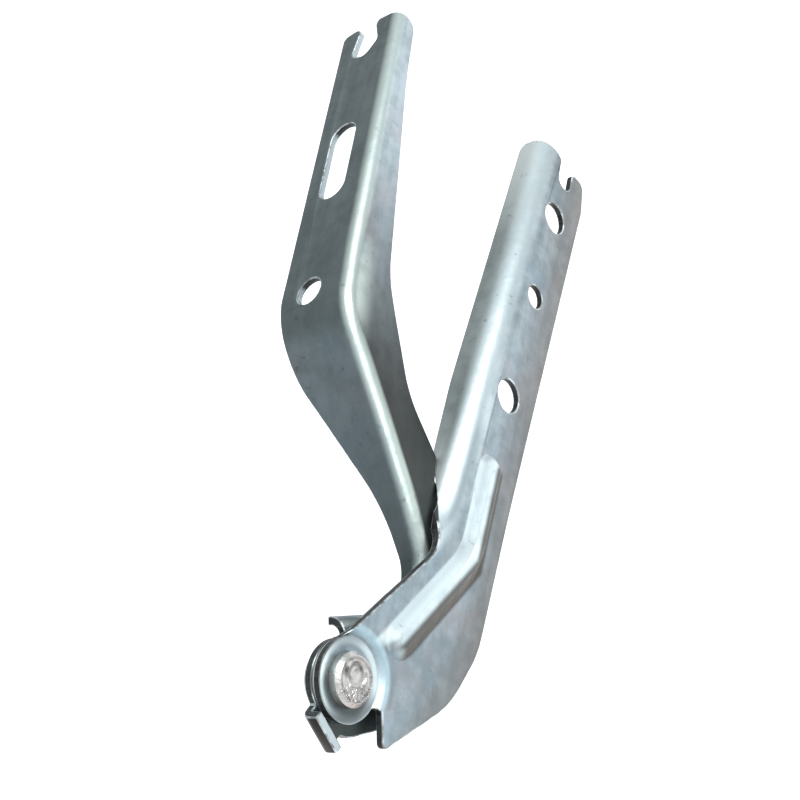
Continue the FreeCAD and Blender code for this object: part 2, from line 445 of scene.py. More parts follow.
@dataclass(frozen=True)
class ZincPlate:
    """Zinc plating on pressed sheet, cool and cloudy, with painted brown shade on its downward
    faces, a painted top tone (painted light on the bracket, painted shade on the arm) and painted
    highlights on its bends.
    """

    name: str
    light: Colour
    cloud: Colour
    # Painted light and shade: upper is a painted tone on upward faces, under a painted shade on
    # downward ones and also the colour of random flecks, and the next field the painted highlight
    # on the bends.
    upper: Tint
    under: Colour
    crest: Tint
    warm: Tint = Tint(tone(0.33, 0.29, 0.31), 0.32)
    cool: Tint = Tint(tone(0.22, 0.32, 0.40), 0.30)
    cloud_share: float = 0.9
    painted_top_dim: float = 0.78
    under_share: float = 0.92
    fleck_share: float = 0.35
    bend_out: Vector = field(default_factory=lambda: Vector((0.0, -0.707, 0.707)))
    rough: float = 0.34
    metallic: float = 0.72
    relief_share: float = 0.35
    relief_depth: float = 1.1 * MM

    def make(self) -> bpy.types.Material:
        """Build the material.

        Returns:
            The plating.
        """
        book = NodeBook(self.name)
        clouds = book.noise(30.0, 4.0, roughness=0.55)
        blotch = book.noise(190.0, 4.0, roughness=0.62, shift=3.0)
        grain = book.noise(1500.0, 2.0, shift=7.0)
        drawn = book.noise(300.0, 3.0, (0.07, 1.0, 1.0), shift=11.0)
        mottle = (clouds * 0.38 + blotch * 0.42 + drawn * 0.2).span(0.40, 0.61)
        book.colour = book.mix(mottle * self.cloud_share, self.light, self.cloud)
        book.lay(book.noise(60.0, 3.0, shift=19.0).span(0.48, 0.68), self.warm)
        book.lay(book.noise(75.0, 3.0, shift=31.0).span(0.50, 0.68), self.cool)
        # Painted light and shade on upward faces: lighter on the bracket's flange, darker on the
        # arm's.
        top = book.facing(UP).span(0.62, 0.97)
        dim = tone(*(value * self.painted_top_dim for value in self.upper.colour[:3]))
        painted_top = book.mix(mottle, self.upper.colour, dim)
        book.lay(top, Tint(painted_top, self.upper.share))
        self._paint_under_highlight(book, top)
        # Painted highlight on the bends and on faces that stand forward of the web.
        rise = book.along("Y").fade(-2.1 * MM, -0.1 * MM)
        book.lay(self._highlight_mask(book).most(rise) * (1.0 - mottle * 0.25), self.crest)
        self._paint_over_highlight(book)
        # Painted shade on faces that turn downwards; the flecks after it are random.
        below = book.facing(Vector((-0.10, -0.18, -0.98))).span(0.25, 0.62)
        book.lay(below, Tint(self.under, self.under_share))
        fleck = book.noise(420.0, 2.0, shift=23.0).span(0.66, 0.78)
        book.lay(fleck, Tint(self.under, self.fleck_share))
        rough = mottle * 0.12 + (grain - 0.5) * 0.08 + (drawn - 0.5) * 0.14 + self.rough
        relief = clouds + blotch * 0.22 + drawn * 0.10 + grain * 0.03
        normal = book.bump(relief, self.relief_share, self.relief_depth)
        return book.finish(rough, self.metallic, normal)

    def _paint_under_highlight(self, book: NodeBook, top: Signal) -> None:
        """Paint light and shade on the ground before the painted bend highlights are laid over it.

        Args:
            book: The material's nodes.
            top: Where the surface turns upwards.
        """

    def _paint_over_highlight(self, book: NodeBook) -> None:
        """Lay a pressing's own marks, mostly painted light and shade, over the painted bend
        highlights.

        Args:
            book: The material's nodes.
        """

    def _lean(self, book: NodeBook) -> Signal:
        """Return how far the surface turns out of the bend, which places the painted highlight.

        Args:
            book: The material's nodes.

        Returns:
            The cosine, from -1 to 1.
        """
        return book.facing(self.bend_out)

    def _highlight_mask(self, book: NodeBook) -> Signal:
        """Return where the painted highlight lies on the bend.

        Args:
            book: The material's nodes.

        Returns:
            The painted highlight, from 0 to about 1.
        """
        depth = book.along("Y").span(-0.9 * MM, 0.1 * MM, 0.35, 1.0)
        return self._lean(book).span(0.73, 0.985) * depth


@dataclass(frozen=True)
class BracketPlate(ZincPlate):
    """The bracket's plating: painted light on the flange ends, the seat and the rib, and painted
    shade at the web's far end, as painted brown shade along the lower edge, beside the rib and
    round the rivet head.
    """

    far_web_shade: Tint = Tint(tone(0.08, 0.10, 0.11), 0.66)
    flange_end_light: Tint = Tint(tone(0.80, 0.87, 0.85), 0.85)
    far_end_share: float = 0.9
    # Painted brown shade along the lower edge.
    edge: Tint = Tint(tone(0.115, 0.105, 0.095))
    edge_wander: float = 3.0 * MM
    far_bend_out: Vector = field(default_factory=lambda: Vector((0.0, -0.6, 0.8)))
    seat_shares: tuple[float, float] = (0.48, 0.85)
    ring_shade: Tint = Tint(tone(0.060, 0.068, 0.076))
    seat_dish_light: Tint = Tint(tone(0.40, 0.60, 0.68), 0.45)
    head_shadow: Tint = Tint(tone(0.030, 0.040, 0.036), 0.85)
    rib_light_share: float = 0.55
    rib_shade: Tint = Tint(tone(0.045, 0.040, 0.034), 0.90)
    cove_shade: Tint = Tint(tone(0.10, 0.14, 0.17), 0.40)
    corner: Tint = Tint(tone(0.022, 0.024, 0.024), 0.95)

    def _paint_under_highlight(self, book: NodeBook, top: Signal) -> None:
        """Paint light on both ends of the flange, paint shade on the end of the web and lay painted
        brown shade along the lower edge.

        Args:
            book: The material's nodes.
            top: Where the surface turns upwards.
        """
        # Painted shade on the web's far end and painted light on both ends of the flange.
        far = book.along("X").span(0.050, 0.105)
        near = book.along("X").fade(-0.042, -0.010)
        book.lay((1.0 - top) * far, self.far_web_shade)
        book.lay(near.most(far * self.far_end_share) * top, self.flange_end_light)
        # Painted brown shade along the lower edge, with a broad darkening towards it, its border
        # made uneven by noise.
        wander = book.noise(90.0, 2.0, shift=29.0) - 0.5
        reach = book.beside_row(LOWER_EDGE, Signal.least) + wander * self.edge_wander
        strip = reach.fade(0.8 * MM, 3.6 * MM) * 0.7
        book.lay(strip.most(reach.span(2.0 * MM, 15.0 * MM, 0.60, 0.0)), self.edge)

    def _lean(self, book: NodeBook) -> Signal:
        """Return how far the surface turns out of the bend, which places the painted highlight more
        upwards at the far end.

        Args:
            book: The material's nodes.

        Returns:
            The cosine, from -1 to 1.
        """
        far = book.along("X").span(-0.015, 0.020)
        return super()._lean(book) * (1.0 - far) + book.facing(self.far_bend_out) * far

    def _paint_over_highlight(self, book: NodeBook) -> None:
        """Paint light and shade on the seat and the rib, and darken the bend's trimmed corner.

        Args:
            book: The material's nodes.
        """
        self._paint_seat_light_and_shadow(book)
        self._paint_rib_light_and_shade(book)
        self._mark_corner(book)

    def _paint_seat_light_and_shadow(self, book: NodeBook) -> None:
        """Paint light on the pivot seat at its sides and on its dish, with painted shade on the
        ring and the rivet head's painted shadow in it.

        Args:
            book: The material's nodes.
        """
        # Painted highlight on the seat's sides, painted shade above and below the head, painted
        # light on the dish and the head's painted shadow.
        flat = book.facing(FRONT).span(0.8, 0.95)
        reach = book.away(PIVOT)
        left = book.from_pivot(*LEFT).span(3.0 * MM, 9.0 * MM, *self.seat_shares)
        book.lay(reach.band(7.8, 9.4, 10.4, 11.6) * flat * left, Tint(self.crest.colour))
        lift = book.from_pivot(*LIFT)
        low = lift.span(-9.0 * MM, -3.0 * MM, 0.80, 0.0)
        high = lift.span(5.5 * MM, 9.5 * MM, 0.0, 0.50)
        book.lay(reach.band(6.6, 7.6, 10.2, 11.2) * flat * low.most(high), self.ring_shade)
        book.lay(reach.band(10.4, 11.4, 12.6, 13.8), self.seat_dish_light)
        shade = book.away(PIVOT + Vector((-2.2, 0.0, 0.2)) * MM).fade(7.2 * MM, 9.2 * MM)
        book.lay(shade * reach.span(6.0 * MM, 10.2 * MM, 1.0, 0.4) * flat, self.head_shadow)

    def _paint_rib_light_and_shade(self, book: NodeBook) -> None:
        """Paint a highlight on the rib's upper wall and painted shade on its lower one and on the
        web above it.

        Args:
            book: The material's nodes.
        """
        below = book.beside_row(RIB_LINE, Signal.most)
        reach = book.from_pivot(1.0, 0.0)
        head, foot = RIB_LINE[0][0], RIB_LINE[-1][0]
        front = book.along("Y").fade(1.0 * MM, 2.0 * MM)
        extent = reach.band(foot - 4.5, foot - 1.5, head + 0.5, head + 3.0) * front
        # Painted highlight on the rib's upper wall, painted shade on its lower wall and in the cove
        # above it.
        light = Tint(self.crest.colour, self.rib_light_share)
        book.lay(below.band(-6.0, -4.4, -2.6, -1.2) * extent, light)
        book.lay(below.band(-0.9, 0.9, 4.9, 6.3) * extent, self.rib_shade)
        cove_shade = book.beside(RIB_LINE[0], RIB_LINE[1]).band(-15.0, -11.0, -7.5, -5.5)
        book.lay(cove_shade * reach.band(49.0, 55.0, 80.0, 92.0) * front, self.cove_shade)

    def _mark_corner(self, book: NodeBook) -> None:
        """Darken the corner where the bend is trimmed off at the neck.

        Args:
            book: The material's nodes.
        """
        reach = book.from_pivot(1.0, 0.0)
        behind = book.along("Y") - (reach - 54.0 * MM) * 0.36 - PIVOT.y
        corner = behind.span(1.1 * MM, 1.4 * MM) * reach.band(51.0, 52.0, 57.0, 58.2)
        high = book.from_pivot(0.0, 1.0).span(-23.0 * MM, -22.0 * MM)
        book.lay(corner * high, self.corner)


@dataclass(frozen=True)
class ArmPlate(ZincPlate):
    """The arm's plating: painted shade where it folds behind the bracket, with a painted highlight
    on the gooseneck bend.
    """

    # Painted shade on the web and over the whole neck, and the share of the painted highlight on
    # the web.
    neck_web_shade: Tint = Tint(tone(0.012, 0.013, 0.012))
    neck: Tint = Tint(tone(0.045, 0.060, 0.058), 0.62)
    web_highlight_share: float = 0.55

    def _paint_under_highlight(self, book: NodeBook, top: Signal) -> None:
        """Paint shade on the web where the two pressings fold close to each other.

        Args:
            book: The material's nodes.
            top: Where the surface turns upwards; not used here.
        """
        # Painted shade on the front of the web towards the neck, then over the whole neck.
        side = book.facing(Vector((0.12, -0.99, 0.0))).span(0.72, 0.97)
        book.lay(book.along("X").fade(-0.030, 0.085) * side, self.neck_web_shade)
        book.lay(book.along("X").fade(-0.075, 0.012), self.neck)

    def _highlight_mask(self, book: NodeBook) -> Signal:
        """Return where the painted highlight lies on the bend, with a painted highlight on the web
        where it turns.

        Args:
            book: The material's nodes.

        Returns:
            The painted highlight, from 0 to 1.25.
        """
        # Painted highlight, stronger towards the neck and narrower on faces turned back.
        crest = super()._highlight_mask(book) * book.along("X").span(-0.070, 0.020, 1.30, 0.72)
        reach = book.from_pivot(1.0, 0.0)
        turned = book.facing(Vector((-1.0, 0.0, 0.0))).span(0.15, 0.40)
        crest = crest.least(1.25) * (1.0 - turned * reach.span(66.0 * MM, 84.0 * MM, 0.55, 0.0))
        # Painted highlight on the web beside the bend.
        glow = reach.band(84.0, 104.0, 112.0, 134.0)
        glow = glow * book.from_pivot(0.0, 1.0).span(10.0 * MM, 18.0 * MM)
        glow = glow * book.facing(FRONT).span(0.25, 0.70)
        return crest.most(glow * self.web_highlight_share)

    def _paint_over_highlight(self, book: NodeBook) -> None:
        """Paint shade on the outside of the stop tab.

        Args:
            book: The material's nodes.
        """
        # Painted shade on the tab's outer face.
        tab = book.facing(Vector((-0.854, 0.0, 0.521))).span(0.94, 0.99)
        book.lay(tab, Tint(self.under))


@dataclass(frozen=True)
class CutSteel:
    """The punched faces of the sheet: thinly plated, scored across and brownish dark."""

    name: str
    light: Colour = tone(0.060, 0.066, 0.065)
    dark: Colour = tone(0.016, 0.017, 0.017)
    plated: Tint = Tint(tone(0.46, 0.55, 0.58), 0.85)
    rough: float = 0.42
    metallic: float = 0.5

    def make(self) -> bpy.types.Material:
        """Build the material.

        Returns:
            The cut face.
        """
        book = NodeBook(self.name)
        score = book.noise(900.0, 2.0, (1.0, 0.12, 1.0))
        patch = book.noise(160.0, 3.0, shift=4.0)
        book.colour = book.mix(score.span(0.35, 0.65) * 0.7 + patch * 0.3, self.dark, self.light)
        book.lay(book.facing(FRONT).span(0.75, 0.96), self.plated)
        normal = book.bump(score * 0.7 + patch * 0.3, 0.5, 0.3 * MM)
        return book.finish(score * 0.2 + self.rough, self.metallic, normal)


@dataclass(frozen=True)
class RolledEdge:
    """The rounded rim of the sheet, painted brighter as a highlight, broken into random rubbed
    patches, with painted shade on its downward side.
    """

    name: str
    light: Colour = tone(0.58, 0.64, 0.66)
    dark: Colour = tone(0.20, 0.21, 0.21)
    under: Tint = Tint(tone(0.10, 0.09, 0.08), 0.85)
    rough: float = 0.36
    metallic: float = 0.75

    def make(self) -> bpy.types.Material:
        """Build the material.

        Returns:
            The rim with its painted highlight.
        """
        book = NodeBook(self.name)
        wear_and_highlight = book.noise(260.0, 3.0, roughness=0.6)
        grain = book.noise(1500.0, 2.0, shift=2.0)
        # Painted highlight on the rim, broken into random rubbed patches.
        book.colour = book.mix(wear_and_highlight.span(0.4, 0.62), self.dark, self.light)
        # Painted shade where the rim turns downwards.
        book.lay(book.facing(Vector((0.0, -0.18, -0.98))).span(0.2, 0.8), self.under)
        normal = book.bump(grain, 0.3, 0.2 * MM)
        return book.finish((grain - 0.5) * 0.15 + self.rough, self.metallic, normal)


@dataclass(frozen=True)
class SpunSteel:
    """Bright steel worked by a tool, warm and finely broken up."""

    name: str
    light: Colour
    dark: Colour
    dark_share: float = 0.6
    rough: float = 0.28
    metallic: float = 0.88

    def make(self) -> bpy.types.Material:
        """Build the material.

        Returns:
            The worked steel.
        """
        book = NodeBook(self.name)
        patch = book.noise(420.0, 3.0, roughness=0.6)
        grit = book.noise(1900.0, 2.0, shift=5.0)
        stain = patch.span(0.42, 0.68)
        book.colour = book.mix(stain * self.dark_share, self.light, self.dark)
        self._paint_light_and_marks(book, patch)
        rough = stain * 0.16 + (grit - 0.5) * 0.16 + self.rough
        normal = book.bump(patch * 0.8 + grit * 0.3, 0.5, 0.4 * MM)
        return book.finish(rough, self.metallic, normal)

    def _paint_light_and_marks(self, book: NodeBook, patch: Signal) -> None:
        """Lay painted light and shade and the marks of use over the steel.

        Args:
            book: The material's nodes.
            patch: The noise that breaks the marks up.
        """


@dataclass(frozen=True)
class RivetSteel(SpunSteel):
    """The rivet's steel, with painted highlights on its head and painted shade in the marks of the
    riveting tool and at its foot.
    """

    ring_at: Vector = field(default_factory=lambda: Vector((1.25, 0.0, -0.1)) * MM)
    recess_shade_share: float = 0.85
    lit_side: Tint = Tint(tone(0.86, 0.90, 0.84))
    lit_edge: Tint = Tint(tone(0.85, 0.88, 0.86), 0.32)
    brown: Tint = Tint(tone(0.26, 0.17, 0.14), 0.7)

    def _paint_light_and_marks(self, book: NodeBook, patch: Signal) -> None:
        """Paint highlights on the head's side and edge, and painted shade in its rim line, dimple,
        nick and foot.

        Args:
            book: The material's nodes.
            patch: The noise that breaks the marks up.
        """
        # Painted highlights on the head's side and edge.
        turned = book.facing(FRONT)
        side = book.facing(Vector((LEFT[0], 0.0, LEFT[1]))).span(0.1, 0.8)
        book.lay(side * turned.span(0.2, 0.6, 0.60, 0.0), self.lit_side)
        edge = turned.span(0.45, 0.6) * turned.fade(0.85, 0.95)
        book.lay(edge * patch.span(0.35, 0.6), self.lit_edge)
        # Painted shade in the rim line, the dimple's ring and the nick.
        line = book.away(PIVOT).band(4.4, 5.0, 5.2, 5.7) * patch.span(0.2, 0.5)
        upper = book.from_pivot(*LIFT).span(-1.5 * MM, 2.2 * MM, 0.35, 1.0)
        ring = book.away(PIVOT + self.ring_at).band(1.5, 2.3, 2.5, 3.2) * upper
        nick = book.away(PIVOT + NICK).fade(0.5 * MM, 1.5 * MM)
        stain = (line * 0.8).most(ring).most(nick * 0.9) * (patch * 0.5 + 0.6)
        book.lay(stain.least(1.0) * turned.span(0.4, 0.8), Tint(self.dark, self.recess_shade_share))
        # Painted brown shadow on the head's foot.
        book.lay(book.facing(Vector((-0.87, 0.0, -0.49))).span(0.35, 0.9), self.brown)


class Finish(Enum):
    """The finishes that the hinge has."""

    BRACKET = BracketPlate(
        "bracket_zinc_plate",
        light=tone(0.255, 0.315, 0.345),
        cloud=tone(0.165, 0.205, 0.225),
        # The upper tint is painted light on upward faces; under is painted shade on downward ones.
        upper=Tint(tone(0.35, 0.40, 0.385), 0.85),
        under=tone(0.095, 0.085, 0.070),
        crest=Tint(tone(0.77, 0.90, 0.92), 0.62),
    )
    ARM = ArmPlate(
        "arm_zinc_plate",
        light=tone(0.33, 0.40, 0.435),
        cloud=tone(0.24, 0.295, 0.32),
        # The upper tint is painted shade on upward faces; under is painted shade on downward ones.
        upper=Tint(tone(0.125, 0.155, 0.155), 0.95),
        under=tone(0.032, 0.028, 0.022),
        crest=Tint(tone(0.80, 0.93, 0.86), 0.70),
    )
    CUT = CutSteel("cut_steel")
    RIM = RolledEdge("rolled_rim")
    RIVET = RivetSteel(
        "rivet_spun_steel", light=tone(0.43, 0.425, 0.415), dark=tone(0.06, 0.055, 0.05)
    )
    WASHER = SpunSteel(
        "washer_bright_steel", light=tone(0.50, 0.52, 0.52), dark=tone(0.30, 0.30, 0.29)
    )


# Modelling helpers


def clear_selection() -> None:
    """Deselect everything and leave edit mode."""
    if bpy.context.object and bpy.context.object.mode != "OBJECT":
        bpy.ops.object.mode_set(mode="OBJECT")
    bpy.ops.object.select_all(action="DESELECT")


def take(piece: bpy.types.Object) -> None:
    """Make a piece the only selected and active one.

    Args:
        piece: The piece.
    """
    clear_selection()
    piece.select_set(True)
    bpy.context.view_layer.objects.active = piece


def select_faces(piece: bpy.types.Object, wanted: Callable[[bmesh.types.BMFace], bool]) -> None:
    """Select faces in edit mode by a test.

    Args:
        piece: The piece in edit mode.
        wanted: The test.
    """
    mesh = bmesh.from_edit_mesh(piece.data)
    for part in (*mesh.verts, *mesh.edges, *mesh.faces):
        part.select = False
    for face in mesh.faces:
        if wanted(face):
            face.select_set(True)
    bmesh.update_edit_mesh(piece.data)


def apply_all(piece: bpy.types.Object) -> None:
    """Apply every modifier of a piece in order.

    Args:
        piece: The piece.
    """
    take(piece)
    for name in [modifier.name for modifier in piece.modifiers]:
        bpy.ops.object.modifier_apply(modifier=name)


def settle(piece: bpy.types.Object, angle: float) -> None:
    """Put a piece's place into its mesh and smooth it by angle.

    Args:
        piece: The piece.
        angle: Edges sharper than this stay sharp, in degrees.
    """
    take(piece)
    bpy.ops.object.transform_apply(location=True, rotation=True, scale=True)
    bpy.ops.object.shade_smooth_by_angle(angle=math.radians(angle))


def offset_mm(point: Vector) -> Vector:
    """Return a point's place from the pivot.

    Args:
        point: The point in metres.

    Returns:
        Its place in millimetres.
    """
    return (point - PIVOT) / MM


# Pieces


@dataclass
class Pressing:
    """A pressed sheet part with its cut edges rolled over as the press leaves them."""

    name: str
    node: str
    body: str
    slot: str
    finish: Finish
    edge_roll: float = 0.38 * MM
    edge_segments: int = 3
    soft_roll: float = 0.7 * MM
    soft_segments: int = 4
    soft_reach: float = 13.5
    cut_width: float = 1.35 * MM
    weld_gap: float = 0.002 * MM
    flat_angle: float = 0.4
    soft_angle: float = 27.0
    rim_angle: float = 38.0
    sharp_angle: float = 58.0
    smooth_angle: float = 30.0

    def build(self) -> bpy.types.Object:
        """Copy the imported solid, clean its facets and round its cut edges.

        Returns:
            The finished pressing.
        """
        piece = self._copy_solid()
        take(piece)
        bpy.ops.object.mode_set(mode="EDIT")
        bpy.ops.mesh.select_all(action="SELECT")
        bpy.ops.mesh.customdata_custom_splitnormals_clear()
        bpy.ops.mesh.remove_doubles(threshold=self.weld_gap)
        bpy.ops.mesh.dissolve_limited(angle_limit=math.radians(self.flat_angle))
        self._mark_cut_faces(piece)
        self._weigh_edges(piece)
        self._reshape(piece)
        bpy.ops.object.mode_set(mode="OBJECT")
        self._round_edges(piece)
        settle(piece, self.smooth_angle)
        return piece

    def _copy_solid(self) -> bpy.types.Object:
        """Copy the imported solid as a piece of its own, with three material slots.

        Returns:
            The copy.
        """
        source = frame["nodes"][self.node]
        clear_selection()
        piece = source.copy()
        piece.data = source.data.copy()
        piece.name = self.name
        piece.data.name = self.name
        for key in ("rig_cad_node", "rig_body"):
            if key in piece:
                del piece[key]
        piece.parent = None
        bpy.context.scene.collection.objects.link(piece)
        while len(piece.data.materials) < 3:
            piece.data.materials.append(None)
        return piece

    def _mark_cut_faces(self, piece: bpy.types.Object) -> None:
        """Give the punched faces, which lie between two sharp edges, their own slot.

        Args:
            piece: The pressing in edit mode.
        """
        mesh = bmesh.from_edit_mesh(piece.data)
        sharp = math.radians(self.rim_angle)
        for face in mesh.faces:
            rims = [edge for edge in face.edges if edge.calc_face_angle(0.0) > sharp]
            length = sum(edge.calc_length() for edge in rims)
            narrow = len(rims) >= 2 and face.calc_area() < self.cut_width * length
            face.material_index = 1 if narrow or self._trimmed(face) else 0
        bmesh.update_edit_mesh(piece.data)

    def _trimmed(self, face: bmesh.types.BMFace) -> bool:
        """Tell whether a face is cut although no sharp edge bounds it.

        Args:
            face: A face of the pressing.

        Returns:
            Whether it is one.
        """
        return False

    def _weigh_edges(self, piece: bpy.types.Object) -> None:
        """Weigh the edges round the pivot seat, which the press leaves soft.

        Args:
            piece: The pressing in edit mode.
        """
        mesh = bmesh.from_edit_mesh(piece.data)
        layer = mesh.edges.layers.float.new("bevel_weight_edge")
        low = math.radians(self.soft_angle)
        sharp = math.radians(self.sharp_angle)
        for edge in mesh.edges:
            spots = [offset_mm(vert.co) for vert in edge.verts]
            near = all(math.hypot(spot.x, spot.z) < self.soft_reach for spot in spots)
            if near and low < edge.calc_face_angle(0.0) < sharp:
                edge[layer] = 1.0
        bmesh.update_edit_mesh(piece.data)

    def _reshape(self, piece: bpy.types.Object) -> None:
        """Change the pressing's shape before its edges are rounded.

        Args:
            piece: The pressing in edit mode.
        """

    def _round_edges(self, piece: bpy.types.Object) -> None:
        """Round the soft edges by their weight and the cut rims by their angle.

        Args:
            piece: The pressing.
        """
        soft = piece.modifiers.new("pressed_bends", "BEVEL")
        soft.width = self.soft_roll
        soft.segments = self.soft_segments
        soft.limit_method = "WEIGHT"
        soft.use_clamp_overlap = False
        soft.material = 0
        roll = piece.modifiers.new("edge_roll", "BEVEL")
        roll.width = self.edge_roll
        roll.segments = self.edge_segments
        roll.limit_method = "ANGLE"
        roll.angle_limit = math.radians(self.sharp_angle)
        roll.use_clamp_overlap = False
        roll.miter_outer = "MITER_ARC"
        roll.material = 2
        apply_all(piece)

    def dress(self, piece: bpy.types.Object) -> None:
        """Give the pressing its plating, its cut faces and its rim with a painted highlight.

        Args:
            piece: The pressing.
        """
        indices = [face.material_index for face in piece.data.polygons]
        piece.data.materials.clear()
        for finish in (self.finish, Finish.CUT, Finish.RIM):
            piece.data.materials.append(finish.value.make())
        for face, index in zip(piece.data.polygons, indices):
            face.material_index = index

    def make(self) -> list[bpy.types.Object]:
        """Build, dress and place the pressing.

        Returns:
            The piece in a list.
        """
        piece = self.build()
        self.dress(piece)
        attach(piece, self.body)
        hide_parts(self.node)
        return [piece]


@dataclass
class BracketPressing(Pressing):
    """The bracket, whose bend is trimmed level at the neck; places are from the pivot."""

    neck_from: float = 36.0
    neck_to: float = 57.5
    neck_floor: float = -23.0
    neck_depth: float = 2.6
    level: float = 0.8
    most_turn: float = 0.32

    def _trimmed(self, face: bmesh.types.BMFace) -> bool:
        """Tell whether a face is the bend of the neck, trimmed level.

        Args:
            face: A face of the pressing.

        Returns:
            Whether it belongs to the trimmed neck.
        """
        spot = offset_mm(face.calc_center_median())
        at_neck = self.neck_from < spot.x < self.neck_to and spot.z >= self.neck_floor
        is_level = face.normal.z > self.level and abs(face.normal.y) < self.most_turn
        return at_neck and is_level and spot.y < self.neck_depth


@dataclass(frozen=True)
class Pull:
    """A part of the arm's cut edge that is drawn on, in millimetres from the pivot."""

    x: float
    z: float
    reach: float
    front: Spot
    back: Spot


@dataclass
class ArmPressing(Pressing):
    """The arm, whose cut edge is drawn on past the bracket's flange where the two cross."""

    pulls: tuple[Pull, ...] = (
        Pull(72.6, -21.85, 2.2, front=(0.0, 0.0), back=(0.0, -0.6)),
        Pull(62.5, -20.85, 1.6, front=(2.2, -0.4), back=(3.7, -2.9)),
        Pull(59.5, -24.5, 2.6, front=(2.0, 0.0), back=(3.5, -1.5)),
    )
    splay: float = 0.18
    splay_from: float = 50.0
    middle: float = 3.85
    web_depth: float = 12.0

    def _reshape(self, piece: bpy.types.Object) -> None:
        """Draw the cut edge on along the splayed web.

        Args:
            piece: The pressing in edit mode.
        """
        mesh = bmesh.from_edit_mesh(piece.data)
        for vert in mesh.verts:
            spot = offset_mm(vert.co)
            behind = spot.y > self.middle + (spot.x - self.splay_from) * self.splay
            for pull in self.pulls:
                near = math.hypot(spot.x - pull.x, spot.z - pull.z) < pull.reach
                if near and spot.y < self.web_depth:
                    across, upward = pull.back if behind else pull.front
                    vert.co += Vector((across, across * self.splay, upward)) * MM
                    break
        bmesh.update_edit_mesh(piece.data)


